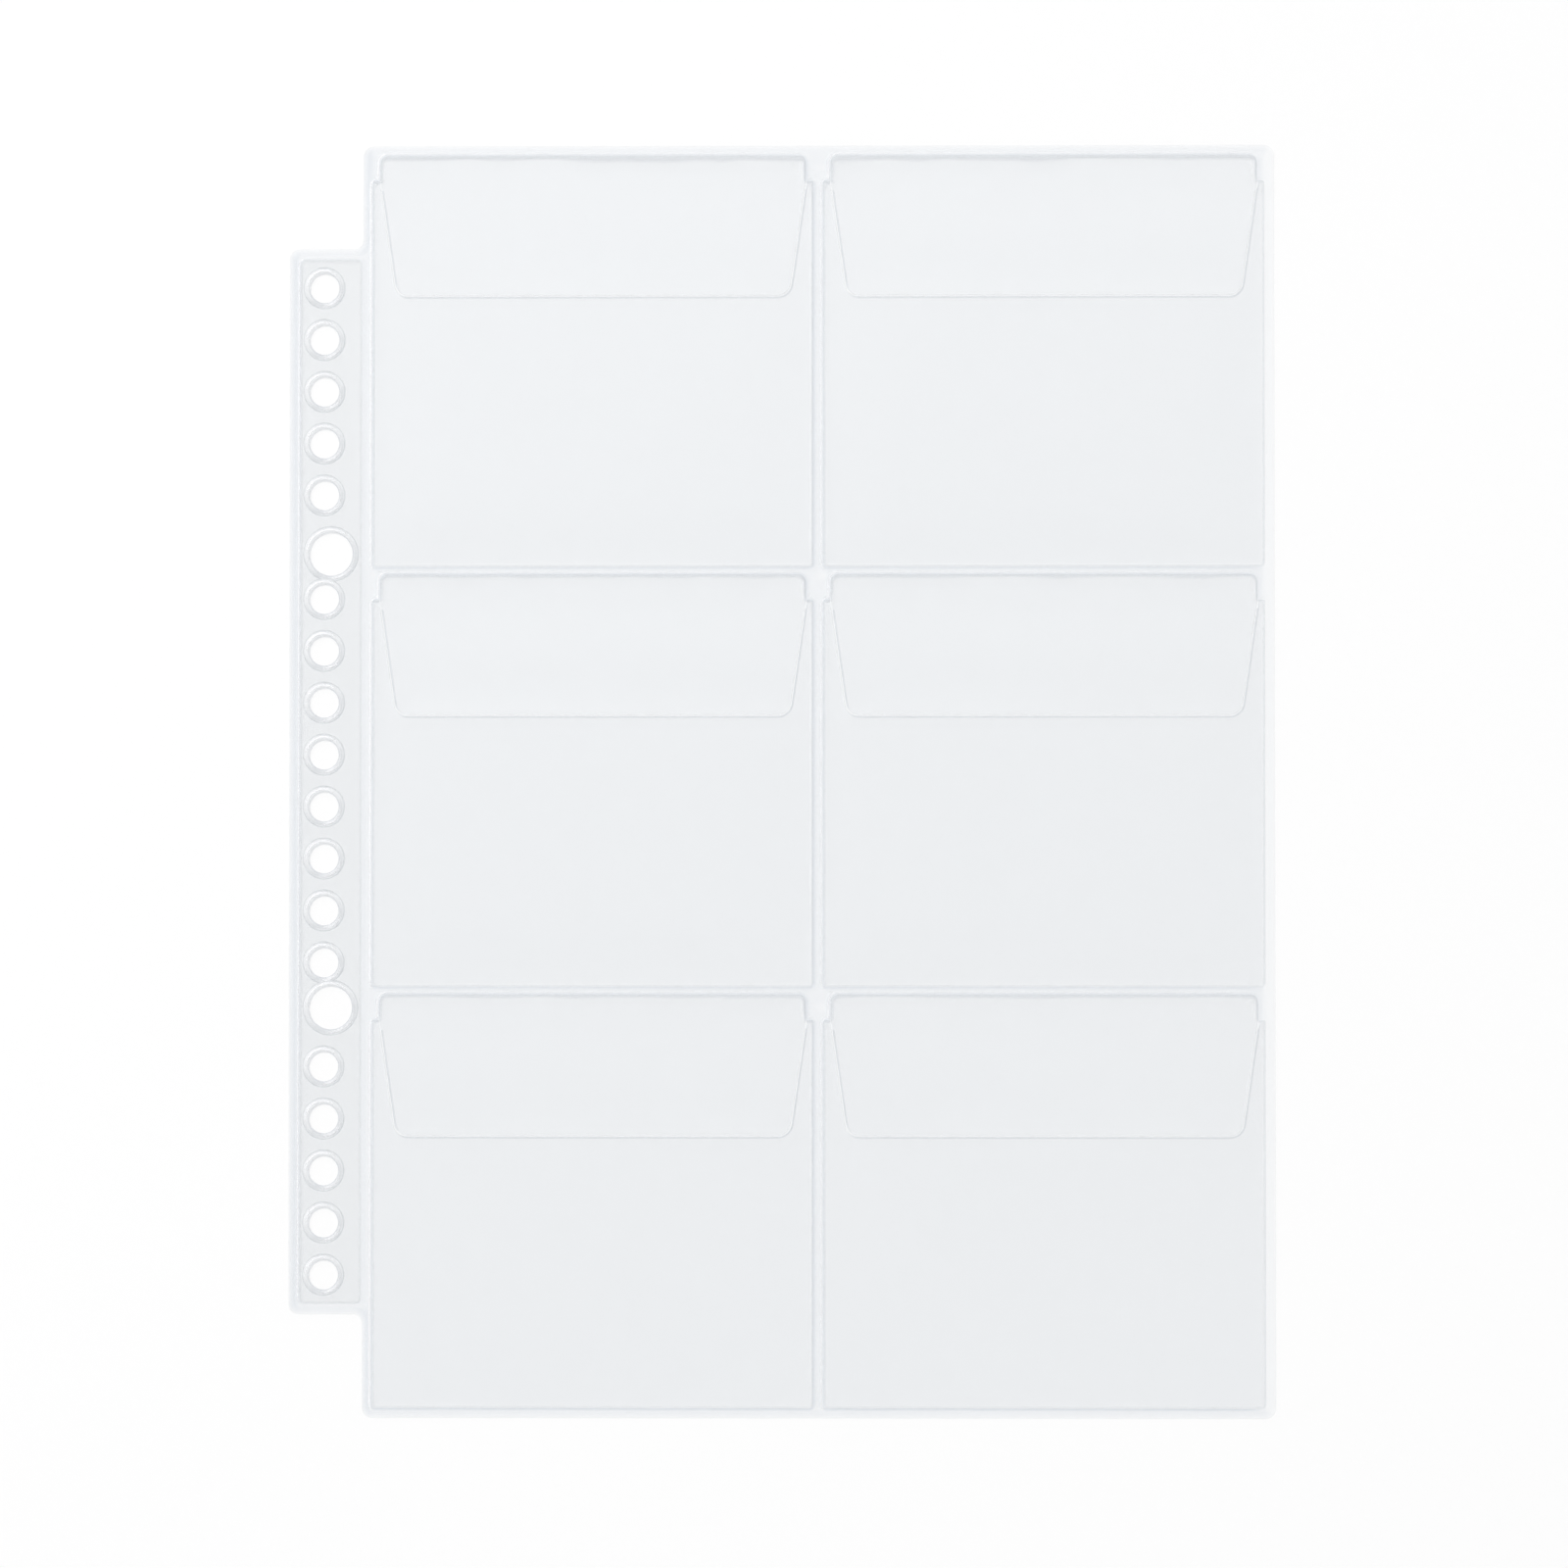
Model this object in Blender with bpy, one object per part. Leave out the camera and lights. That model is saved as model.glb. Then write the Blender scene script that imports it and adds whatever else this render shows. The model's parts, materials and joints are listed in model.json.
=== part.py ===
"""Clear vinyl pocket page for a ring planner: a punched binding strip beside six pockets with flaps.

Two films lie on each other and are fused along narrow seams, which close off the pockets. Each flap is a
tongue cut out of the front film. It bends on its fold at the shoulder line, and the strip bends on the
fold beside the spine seam. Metres, lying flat with the front up: +X points from the strip to the outer
edge, +Y to the top edge and +Z out of the front film. The origin is on the back face, in the middle.
"""

import math

import bpy
from mathutils import Vector

OBJECT_NAME = "planner_pocket_refill"

# Films, measured along Z
FILM = 0.0002  # thickness of the back film and of the front film
WELD = 0.00025  # height of a fused seam on the back film
SEAT = 0.00005  # clearance between a seam and the film that it holds
FOLD_LIFT = 0.0001  # height of a fold's axis above the front film

# Pockets
COLUMNS = ("left", "right")
ROWS = ("top", "middle", "bottom")
POCKET_WIDTH = 0.08065
POCKET_HEIGHT = 0.07545
POCKET_CORNER = 0.0008
EDGE_SEAM = 0.00185  # width of the seams round the page
CENTRE_SEAM = 0.00185
ROW_SEAM = 0.00135
SEAM_LAP = 0.0004  # how far a seam reaches under the film that it holds
PAGE_CORNER = 0.002

# Necks and flaps
NECK_HEIGHT = 0.0047  # from the seam over a pocket down to its shoulders
NECK_INSET = 0.00135  # how far each shoulder stands in from the pocket's side
NECK_CORNER = 0.001
FLAP_LENGTH = 0.0211
FLAP_TAPER = 0.00305  # how far each side of the flap draws in towards its lower edge
FLAP_CORNER = 0.0025
CUT = 0.00025  # width of the cut round a flap
FOLD_GAP = 0.0003  # gap at a fold, between what stays and what turns

# Binding strip
HOLE_COUNT = 20
HOLE_PITCH = 0.0095
HOLE_DIAMETER = 0.0058
LARGE_HOLE_DIAMETER = 0.0083
LARGE_HOLE_PLACE = 5  # holes between a large hole and the nearer end of the strip
RING_LAND = 0.00075  # width of the fused ring round a hole
RING_LAP = 0.0002  # how far a ring reaches under the strip's front film
RING_TO_SEAM = 0.0002  # from a ring to the seam at the strip's edge
RING_TO_FOLD = 0.0007  # from a large hole's ring to the fold
END_MARGIN = 0.00725  # from the last hole's middle to the end of the strip
STRIP_SEAM = 0.00195
HOLE_STEPS = 24
CORNER_STEPS = 6

# Heights that follow from the films
WELD_LOW = FILM + SEAT
FRONT_LOW = WELD_LOW + WELD + SEAT
FOLD_HEIGHT = FRONT_LOW + FILM + FOLD_LIFT

# The outline's places
PAGE_WIDTH = len(COLUMNS) * POCKET_WIDTH + (len(COLUMNS) - 1) * CENTRE_SEAM + 2 * EDGE_SEAM
PAGE_HEIGHT = len(ROWS) * POCKET_HEIGHT + (len(ROWS) - 1) * ROW_SEAM + 2 * EDGE_SEAM
LARGE_SHIFT = (LARGE_HOLE_DIAMETER - HOLE_DIAMETER) / 2
HOLE_EDGE = STRIP_SEAM + SEAM_LAP + RING_TO_SEAM + RING_LAP + RING_LAND + HOLE_DIAMETER / 2
LARGE_RING_REACH = LARGE_HOLE_DIAMETER / 2 + RING_LAND + RING_LAP
STRIP_WIDTH = HOLE_EDGE + LARGE_SHIFT + LARGE_RING_REACH + RING_TO_FOLD
STRIP_HEIGHT = (HOLE_COUNT - 1) * HOLE_PITCH + 2 * END_MARGIN
RIGHT = (STRIP_WIDTH + PAGE_WIDTH) / 2
LEFT = -RIGHT
FOLD_X = LEFT + STRIP_WIDTH
TOP = PAGE_HEIGHT / 2
STRIP_TOP = STRIP_HEIGHT / 2
PAGE_LEFT = FOLD_X + FOLD_GAP / 2
STRIP_RIGHT = FOLD_X - FOLD_GAP / 2


def clear_scene():
    for old in list(bpy.data.objects):
        bpy.data.objects.remove(old, do_unlink=True)


def new_collection(name):
    collection = bpy.data.collections.new(name)
    bpy.context.scene.collection.children.link(collection)
    return collection


def clear_vinyl(name, colour, roughness, alpha):
    material = bpy.data.materials.new(name)
    material.use_nodes = True
    shader = material.node_tree.nodes["Principled BSDF"]
    shader.inputs["Base Color"].default_value = (*colour, 1.0)
    shader.inputs["Roughness"].default_value = roughness
    shader.inputs["Metallic"].default_value = 0.0
    shader.inputs["Alpha"].default_value = alpha
    return material


def arc(middle, radius, start, turn, steps):
    """Points from angle start, through turn, on a circle."""
    angles = [start + turn * step / steps for step in range(steps + 1)]
    return [middle + radius * Vector((math.cos(angle), math.sin(angle))) for angle in angles]


def circle(middle, radius):
    return arc(middle, radius, 0, 2 * math.pi, HOLE_STEPS)[:-1]


def rounded(corners):
    """A closed outline through (x, y, radius) corners. A radius is limited by the edges that it joins."""
    points = []
    for place, (x, y, radius) in enumerate(corners):
        corner = Vector((x, y))
        if not radius:
            points.append(corner)
            continue
        back = Vector(corners[place - 1][:2]) - corner
        ahead = Vector(corners[(place + 1) % len(corners)][:2]) - corner
        half = back.angle(ahead) / 2
        reach = min(radius / math.tan(half), back.length, ahead.length)
        inward = (back.normalized() + ahead.normalized()).normalized()
        middle = corner + inward * reach / math.cos(half)
        first = corner + back.normalized() * reach - middle
        last = corner + ahead.normalized() * reach - middle
        start = math.atan2(first.y, first.x)
        turn = math.remainder(math.atan2(last.y, last.x) - start, 2 * math.pi)
        points += arc(middle, first.length, start, turn, CORNER_STEPS)
    return points


def rectangle(low_x, low_y, high_x, high_y, radii=(0, 0, 0, 0)):
    """An upright rectangle. The radii start at the lower left corner and go round by way of the right."""
    xs = (low_x, high_x, high_x, low_x)
    ys = (low_y, low_y, high_y, high_y)
    return rounded(list(zip(xs, ys, radii)))


def around_two(first, first_radius, second, second_radius):
    """The outline of a band drawn tight round two circles."""
    line = second - first
    towards = math.atan2(line.y, line.x)
    lean = math.acos((first_radius - second_radius) / line.length)
    near = arc(first, first_radius, towards + lean, 2 * (math.pi - lean), HOLE_STEPS)
    far = arc(second, second_radius, towards - lean, 2 * lean, HOLE_STEPS)
    return near + far


def axis_empty(name, x, y, collection):
    """An empty on the axis that a piece turns on."""
    empty = bpy.data.objects.new(name, None)
    empty.location = (x, y, FOLD_HEIGHT)
    empty.empty_display_size = EDGE_SEAM
    collection.objects.link(empty)
    return empty


def sheet(name, outlines, low, thickness, material, collection, axis=None):
    """A flat piece on height low. The first outline is its edge, and any others are its holes."""
    shape = bpy.data.curves.new(name, "CURVE")
    shape.dimensions = "2D"
    shape.fill_mode = "BOTH"
    shape.extrude = thickness / 2
    for outline in outlines:
        spline = shape.splines.new("POLY")
        spline.points.add(len(outline) - 1)
        for point, (x, y) in zip(spline.points, outline):
            point.co = (x, y, 0, 1)
        spline.use_cyclic_u = True
    shape.materials.append(material)
    piece = bpy.data.objects.new(name, shape)
    piece.location = (0, 0, low + thickness / 2)
    if axis is not None:
        piece.parent = axis
        piece.location -= axis.location
    collection.objects.link(piece)
    return piece


def pocket_left(column):
    return FOLD_X + EDGE_SEAM + column * (POCKET_WIDTH + CENTRE_SEAM)


def pocket_top(row):
    return TOP - EDGE_SEAM - row * (POCKET_HEIGHT + ROW_SEAM)


def shoulder(row):
    return pocket_top(row) - NECK_HEIGHT


def flap_side(column, row, grow):
    """The flap's lower left corner, then its upper left one, with each side and the lower edge moved out."""
    left = pocket_left(column) + NECK_INSET - grow
    return (left + FLAP_TAPER, shoulder(row) - FLAP_LENGTH - grow), (left, shoulder(row))


def mirrored(x, column):
    """x on the other side of the middle of a column of pockets."""
    return 2 * pocket_left(column) + POCKET_WIDTH - x


def pocket_front(column, row):
    """The film over a pocket. It reaches up beside the flap as far as the shoulders."""
    left = pocket_left(column)
    bottom = pocket_top(row) - POCKET_HEIGHT
    right = left + POCKET_WIDTH
    (low_x, low_y), (high_x, high_y) = flap_side(column, row, CUT)
    corner = FLAP_CORNER + CUT
    return rounded(
        [
            (left, bottom, POCKET_CORNER),
            (right, bottom, POCKET_CORNER),
            (right, high_y, 0),
            (mirrored(high_x, column), high_y, 0),
            (mirrored(low_x, column), low_y, corner),
            (low_x, low_y, corner),
            (high_x, high_y, 0),
            (left, high_y, 0),
        ]
    )


def flap_root(column, row):
    """The neck of film between the seam over a pocket and the fold of its flap."""
    left = pocket_left(column) + NECK_INSET
    low_y = shoulder(row) + FOLD_GAP / 2
    radii = (0, 0, NECK_CORNER, NECK_CORNER)
    return rectangle(left, low_y, mirrored(left, column), pocket_top(row), radii)


def flap(column, row):
    """The tongue below the fold."""
    (low_x, low_y), (high_x, high_y) = flap_side(column, row, 0)
    top = high_y - FOLD_GAP / 2
    top_x = high_x + FLAP_TAPER * FOLD_GAP / 2 / FLAP_LENGTH
    return rounded(
        [
            (low_x, low_y, FLAP_CORNER),
            (mirrored(low_x, column), low_y, FLAP_CORNER),
            (mirrored(top_x, column), top, 0),
            (top_x, top, 0),
        ]
    )


def stepped_side(x, outward):
    """A side of an upright seam, from the top down, with a wide step for the shoulders of each row."""
    corners = []
    for row in range(len(ROWS)):
        high_y = TOP if row == 0 else pocket_top(row) + ROW_SEAM + SEAM_LAP
        low_y = shoulder(row) - SEAM_LAP
        wide_x = x + outward * NECK_INSET
        if row:
            corners.append((x, high_y, 0))
        corners += [(wide_x, high_y, 0), (wide_x, low_y, 0), (x, low_y, 0)]
    return corners + [(x, -TOP, 0)]


def upright_seams():
    """Name to outline of the seams that run down the page, with the shoulders of the pockets beside them."""
    seams = {}
    spine_inner = pocket_left(0) + SEAM_LAP
    seams["spine_seam"] = [(PAGE_LEFT, -TOP, PAGE_CORNER), (PAGE_LEFT, TOP, PAGE_CORNER)]
    seams["spine_seam"] += stepped_side(spine_inner, 1)
    outer_inner = pocket_left(len(COLUMNS) - 1) + POCKET_WIDTH - SEAM_LAP
    seams["outer_seam"] = [(RIGHT, TOP, PAGE_CORNER), (RIGHT, -TOP, PAGE_CORNER)]
    seams["outer_seam"] += reversed(stepped_side(outer_inner, -1))
    centre_right = pocket_left(1) + SEAM_LAP
    centre_left = pocket_left(1) - CENTRE_SEAM - SEAM_LAP
    seams["centre_seam"] = stepped_side(centre_right, 1)
    seams["centre_seam"] += reversed(stepped_side(centre_left, -1))
    return {name: rounded(corners) for name, corners in seams.items()}


def level_seams():
    """Name to outline of the seams that run across a column, above each pocket and below the last."""
    seams = {}
    for column, side in enumerate(COLUMNS):
        low_x = pocket_left(column) + NECK_INSET + SEAM_LAP + SEAT
        high_x = mirrored(low_x, column)
        for row, height in enumerate(ROWS):
            low_y = pocket_top(row) - SEAM_LAP
            high_y = TOP if row == 0 else pocket_top(row) + ROW_SEAM + SEAM_LAP
            seams[f"{height}_row_seam_{side}"] = rectangle(low_x, low_y, high_x, high_y)
        low_x = pocket_left(column) + SEAM_LAP + SEAT
        high_x = mirrored(low_x, column)
        seams[f"foot_seam_{side}"] = rectangle(low_x, -TOP, high_x, -TOP + EDGE_SEAM + SEAM_LAP)
    return seams


def holes():
    """(middle, radius) of each hole, from the top down. A large hole grows to the page and to the middle."""
    large = {LARGE_HOLE_PLACE: -1, HOLE_COUNT - 1 - LARGE_HOLE_PLACE: 1}
    found = []
    for place in range(HOLE_COUNT):
        middle = Vector((LEFT + HOLE_EDGE, STRIP_TOP - END_MARGIN - place * HOLE_PITCH))
        if place in large:
            middle += LARGE_SHIFT * Vector((1, large[place]))
            found.append((middle, LARGE_HOLE_DIAMETER / 2))
        else:
            found.append((middle, HOLE_DIAMETER / 2))
    return found


def ring_groups():
    """The places of the holes that share a ring: a large hole with its neighbour towards the middle."""
    upper = (LARGE_HOLE_PLACE, LARGE_HOLE_PLACE + 1)
    lower = (HOLE_COUNT - 2 - LARGE_HOLE_PLACE, HOLE_COUNT - 1 - LARGE_HOLE_PLACE)
    single = [(place,) for place in range(HOLE_COUNT) if place not in upper + lower]
    return sorted([*single, upper, lower])


def ring_outline(group, land):
    """The outer edge of the ring round one hole, or round two that share it."""
    found = [(middle, radius + land) for middle, radius in (holes()[place] for place in group)]
    return circle(*found[0]) if len(group) == 1 else around_two(*found[0], *found[1])


def build_page(collection, back, front, weld):
    radii = (PAGE_CORNER,) * 4
    outline = rectangle(PAGE_LEFT, -TOP, RIGHT, TOP, radii)
    sheet("page_back_film", [outline], 0, FILM, back, collection)
    for name, outline in {**upright_seams(), **level_seams()}.items():
        sheet(name, [outline], WELD_LOW, WELD, weld, collection)
    for column, side in enumerate(COLUMNS):
        for row, height in enumerate(ROWS):
            place = f"{height}_{side}"
            outline = pocket_front(column, row)
            sheet(f"pocket_front_{place}", [outline], FRONT_LOW, FILM, front, collection)
            outline = flap_root(column, row)
            sheet(f"flap_root_{place}", [outline], FRONT_LOW, FILM, front, collection)


def build_flaps(collection, front):
    for column, side in enumerate(COLUMNS):
        for row, height in enumerate(ROWS):
            place = f"{height}_{side}"
            middle = pocket_left(column) + POCKET_WIDTH / 2
            axis = axis_empty(f"flap_fold_{place}", middle, shoulder(row), collection)
            outline = flap(column, row)
            sheet(f"flap_{place}", [outline], FRONT_LOW, FILM, front, collection, axis)


def build_strip(collection, back, front, weld):
    axis = axis_empty("strip_fold", FOLD_X, 0, collection)
    radii = (PAGE_CORNER, 0, 0, PAGE_CORNER)
    outline = rectangle(LEFT, -STRIP_TOP, STRIP_RIGHT, STRIP_TOP, radii)
    punched = [circle(*hole) for hole in holes()]
    sheet("strip_back_film", [outline, *punched], 0, FILM, back, collection, axis)

    inner_x = LEFT + STRIP_SEAM
    inner_top = STRIP_TOP - STRIP_SEAM
    outline = rectangle(LEFT, -STRIP_TOP, inner_x + SEAM_LAP, STRIP_TOP, radii)
    sheet("strip_edge_seam", [outline], WELD_LOW, WELD, weld, collection, axis)
    low_x = inner_x + SEAM_LAP + SEAT
    low_y = inner_top - SEAM_LAP
    outline = rectangle(low_x, low_y, STRIP_RIGHT, STRIP_TOP)
    sheet("strip_top_seam", [outline], WELD_LOW, WELD, weld, collection, axis)
    outline = rectangle(low_x, -STRIP_TOP, STRIP_RIGHT, -low_y)
    sheet("strip_foot_seam", [outline], WELD_LOW, WELD, weld, collection, axis)

    outline = rectangle(inner_x, -inner_top, STRIP_RIGHT, inner_top)
    cleared = [ring_outline(group, RING_LAND) for group in ring_groups()]
    sheet("strip_front_film", [outline, *cleared], FRONT_LOW, FILM, front, collection, axis)

    for group in ring_groups():
        name = "hole_ring_" + "_".join(f"{place + 1:02d}" for place in group)
        outlines = [ring_outline(group, RING_LAND + RING_LAP), *(punched[place] for place in group)]
        sheet(name, outlines, WELD_LOW, WELD, weld, collection, axis)


def main():
    clear_scene()
    collection = new_collection(OBJECT_NAME)
    back = clear_vinyl("back_film_vinyl", (0.88, 0.90, 0.92), 0.18, 0.30)
    front = clear_vinyl("front_film_vinyl", (0.90, 0.92, 0.94), 0.12, 0.30)
    weld = clear_vinyl("fused_seam_vinyl", (0.93, 0.95, 0.97), 0.25, 0.40)
    build_page(collection, back, front, weld)
    build_flaps(collection, front)
    build_strip(collection, back, front, weld)


main()
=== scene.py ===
"""Looks of a clear vinyl pocket page: soft films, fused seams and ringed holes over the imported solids.

Metres, in the frame of the solids: +X points from the strip to the outer edge, +Y to the top edge and +Z
out of the front film. Each sheet is a flat mesh over its outline, lifted to a lower and an upper height.
"""

import json
import math
from types import SimpleNamespace

import bpy
import numpy as np
from mathutils import Matrix, Vector, geometry, noise


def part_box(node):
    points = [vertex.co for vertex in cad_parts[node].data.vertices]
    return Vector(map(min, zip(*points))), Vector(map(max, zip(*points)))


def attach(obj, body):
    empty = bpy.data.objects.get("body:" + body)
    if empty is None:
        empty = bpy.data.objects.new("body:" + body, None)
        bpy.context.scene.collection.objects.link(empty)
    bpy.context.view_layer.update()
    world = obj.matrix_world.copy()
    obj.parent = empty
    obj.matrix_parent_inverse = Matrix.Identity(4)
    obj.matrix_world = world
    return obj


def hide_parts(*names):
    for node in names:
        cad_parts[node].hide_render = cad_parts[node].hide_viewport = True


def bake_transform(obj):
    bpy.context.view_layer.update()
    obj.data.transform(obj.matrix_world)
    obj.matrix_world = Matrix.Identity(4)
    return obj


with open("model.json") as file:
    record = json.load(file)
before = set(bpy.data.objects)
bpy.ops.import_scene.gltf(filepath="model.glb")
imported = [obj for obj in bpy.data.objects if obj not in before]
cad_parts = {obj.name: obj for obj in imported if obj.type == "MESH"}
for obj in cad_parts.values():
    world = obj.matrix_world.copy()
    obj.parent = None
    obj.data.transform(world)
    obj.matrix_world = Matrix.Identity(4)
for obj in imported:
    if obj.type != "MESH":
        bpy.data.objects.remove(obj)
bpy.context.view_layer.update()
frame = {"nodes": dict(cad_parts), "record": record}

COLUMNS = ("left", "right")
ROWS = ("top", "middle", "bottom")
MM = 0.001

# Sizes of the outlines
PAGE_CORNER = 0.0020
STRIP_FILLET = 0.0015  # the hollow corner between the strip and the page
STRIP_CORNER = 0.0010
POCKET_CORNER = 0.0008
NECK_CORNER = 0.0014
SHOULDER_ROUND = 0.0004
FLAP_TAPER = 0.00305
FLAP_CORNER = 0.0025
MOUTH_GAP = 0.0001  # the width of the cut round a flap
HOLE_RADIUS = 0.0029
LARGE_HOLE_RADIUS = 0.00415
RING_LAND = 0.00075  # the width of the fused band round a hole
RING_LAP = 0.0002  # how far a ring runs on under the strip's film
LIP_DRAW = 0.0002  # how far a ring's lip draws in over its hole
HOLE_SHADOW_DRAW = 0.0003  # how much smaller the back film's holes are, so that its edge lies in each hole as a painted shadow
HOLE_SHADOW_SHIFT = Vector((0.00012, -0.00012))  # and how far they lie off the rings, so that this shadow is widest on the lamp's side
SEAM_LAP = 0.0004  # how far the seams run on under the films

# Heights of the soft film
SKIN = 0.00001  # the least gap between sheets that lie on each other
RIDGE_GAPS = np.array((0, 0.05, 0.12, 0.22, 0.32, 0.44, 0.6, 1.0)) * MM  # from a weld's edge into the film
RIDGE_HEIGHTS = np.array((0.02, 0.10, 0.21, 0.31, 0.34, 0.31, 0.26, 0.25)) * MM  # above the weld
STRETCH = 0.5  # how much wider the ridge is where the weld has pulled the film out
STRETCH_WAVE = 0.5  # how much its width varies there
STRETCH_WAVE_LENGTH = 0.009
STRETCH_SEED = 0.25  # what its noise adds to a pocket's seed
FOOT_FLATTER = 0.45  # how much lower the crest is at the foot of a pocket
RISE_GAPS = np.array((0, 0.12, 0.22, 0.6, 1.2)) * MM  # from a ring's edge into the strip
RISE_HEIGHTS = np.array((0.02, 0.20, 0.24, 0.25, 0.25)) * MM  # above the weld
LIP_GAPS = np.array((0, 0.06, 0.18, 0.38, 0.56, 0.66, 0.76, 0.84, 0.92)) * MM  # from a hole's edge outwards
LIP_HEIGHTS = np.array((0, 0.06, 0.13, 0.17, 0.175, 0.135, 0.08, 0.035, 0)) * MM  # above the weld
BULGE = 0.00025  # how far the slack film stands up
BULGE_REACH = 0.012  # and how far from a weld it is slack
RIPPLE = 0.00005
RIPPLE_LENGTH = 0.02
CURL = 0.00012  # how far a flap curls up at its cut
CURL_REACH = 0.004
CURL_SEED = 0.5  # what its noise adds to a pocket's seed
EDGE_ROUND = 0.00006  # how far the faces of a sheet draw in at a cut edge
EDGE_SHARE = 0.4  # and the share of its thickness that each may draw in

# Painted shade and highlight lines beside the welds and cuts: where they lie, and how strong they are
LIGHT_WAY = np.array((-0.7, 0.7))  # towards the lamp, seen from above
CUT_WAY = np.array((1.0, -1.0))  # the side of a cut that lies in its shade
PULL_BASE = 0.5
PULL_WAY = np.array((0.6, -0.6))  # from a weld to the film that it has pulled out most, which is also the lamp's side of the painted lines
SEAM_PULL_WAY = np.array((1.0, -0.4))  # and for the painted highlight and shade lines on the seams
TOP_WIDER = (1.4, 0.6, 0.6)  # how much wider the lines are over the pockets of each row than beside them
NECK_WIDER = 0.6  # and beside the neck of its flap
TOP_LINE_LEVEL = 0.3  # how much stronger the lines are over a pocket
SIDE_LINE_LEVEL = -0.45  # and left of it
FOOT_LINE_LEVEL = -1.0  # and below it
NECK_LINE_LEVEL = 0.4  # and beside the neck of its flap
STRIP_LINE_LEVEL = 0.15  # how strong the lines are beside the strip's window
STRIP_SHARPER = 2.0  # and how much narrower
STRIP_EASE = 0.75  # how much fainter a line in the strip's film is on the lamp's side of a weld
RING_EASE = 0.5  # and a ring's inner line on the lamp's side of its hole
RING_LINE_LEVEL = 0.2  # how strong the lines of the strip's film are beside a ring
RING_SHARPER = 2.5  # and how much narrower than beside the strip's border
OUTER_LINE_LEVEL = 0.4  # how strong the lines are along the outer edge
OUTER_SEAM_LINE_LEVEL = 0.0  # and on the outer seam itself
OUTER_BAND = 0.0025  # the width over which they fade
FOOT_SEAM_LINE_LEVEL = 1.7  # how strong the lines are on the seams at the foot of the page
CREASE_GAP = 0.00055  # from the right pockets to a fine crease in the centre seam, drawn as a painted shade line

# Shares of the full tint
BORDER_GAPS = np.array((0, 0.12, 0.4, 0.6, 0.85, 1.04, 1.3, 1.7)) * MM  # from the outer edge into the weld
BORDER_TINTS = np.array((0.2, 0.3, 0.4, 0.5, 0.65, 0.75, 0.7, 0.45))
BORDER_BASE = 0.44
BORDER_WAY = np.array((0.5, 0.03))  # the border is darker on the strip's side
BORDER_WIDTH = 0.0018
BORDER_FADE = 0.0008
WELD_TINT = 0.42  # in the seams between the pockets
WIDE_PALER = 0.85  # how much paler the welds are far from a pocket
WIDE_START = 0.0006
WIDE_FADE = 0.0008
LAP_TINT = 0.1  # where a seam runs on under the films
BACK_GAPS = np.array((0, 0.12, 0.4, 0.9)) * MM  # from the back film's edge in
BACK_TINTS = np.array((0.3, 0.6, 0.9, 1.0))
RING_TURNS = (0, 45, 85, 145, 180, 215, 240, 262, 292, 325)  # degrees round a ring, from +X towards +Y
RING_SHADES = (1.0, 0.3, 0.0, 0.0, 0.22, 0.45, 0.95, 1.0, 0.0, 0.65)  # painted light and shade beside the hole
RING_EDGE_SHADES = (0.75, 0.4, 0.9, 0.1, 0.3, 0.7, 1.0, 0.65, 0.6, 1.0)  # and painted light and shade along the outer edge
RING_FADE_START = 0.00052  # from the hole's edge to where the one starts to turn into the other
RING_FADE = 0.0003
RING_HIGHLIGHTS = (0.0, 0.1, 0.8, 0.8, 0.0, 0.0, 0.0, 0.0, 1.0, 0.3)  # how bright the painted highlight arc in a ring is
RING_HIGHLIGHT_GAP = 0.00055  # from the hole's edge to the middle of that arc

# Sizes of the meshes
CORNER_STEPS = 8
HOLE_STEPS = 64
RUN = 0.0016  # the longest run between two points of an outline
RIM_DEPTHS = np.array((0.05, 0.12, 0.22, 0.32, 0.44, 0.6, 0.8, 1.2)) * MM  # rows beside an outline
SEAM_DEPTHS = np.array((0.12, 0.4, 0.6, 0.85, 1.04, 1.3)) * MM
ROW_CLEAR = 0.96  # share of its depth that a row keeps from every outline
GRID = 0.004
GRID_CLEAR = 1.3  # how far the grid keeps from an outline, in depths of the last row
FOLD_HALF = 0.00028  # half the width of a fold
FOLD_STEPS = 8
FAR = 0.005  # a gap this wide has no edge near
SAME_POINT = 1e-6  # points closer than this are one point
SLIVER = 2e-8  # triangles lower than this are left out
NO_LENGTH = 1e-9  # keeps a division by a length from a division by nothing
BLUNT = 0.5  # keeps a moved outline from shooting out at its sharp corners
BATCH = 400  # points that are measured at a time
SHARP_ANGLE = math.radians(55)

page_low, page_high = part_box("page_back_film")
strip_low, strip_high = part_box("strip_back_film")
weld_low, weld_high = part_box("centre_seam")
strip_front_low, strip_front_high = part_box("strip_front_film")
FILM = page_high.z
WELD_TOP = weld_high.z
FOLD_X = (page_low.x + strip_high.x) / 2


# Outlines


def arc(middle, radius, start, turn, steps):
    angles = [start + turn * step / steps for step in range(steps + 1)]
    return [middle + radius * Vector((math.cos(angle), math.sin(angle))) for angle in angles]


def rounded(corners):
    """A line through (x, y, radius) corners. It is open where its first and last corners are sharp."""
    points = []
    for place, (x, y, radius) in enumerate(corners):
        corner = Vector((x, y))
        if not radius:
            points.append(corner)
            continue
        back = (Vector(corners[place - 1][:2]) - corner).normalized()
        ahead = (Vector(corners[(place + 1) % len(corners)][:2]) - corner).normalized()
        half = back.angle(ahead) / 2
        reach = radius / math.tan(half)
        middle = corner + (back + ahead).normalized() * reach / math.cos(half)
        first = corner + back * reach - middle
        last = corner + ahead * reach - middle
        start = math.atan2(first.y, first.x)
        turn = math.remainder(math.atan2(last.y, last.x) - start, 2 * math.pi)
        points += arc(middle, first.length, start, turn, CORNER_STEPS)
    return points


def circle(middle, radius):
    return arc(middle, radius, 0, 2 * math.pi, HOLE_STEPS)[:-1]


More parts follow.
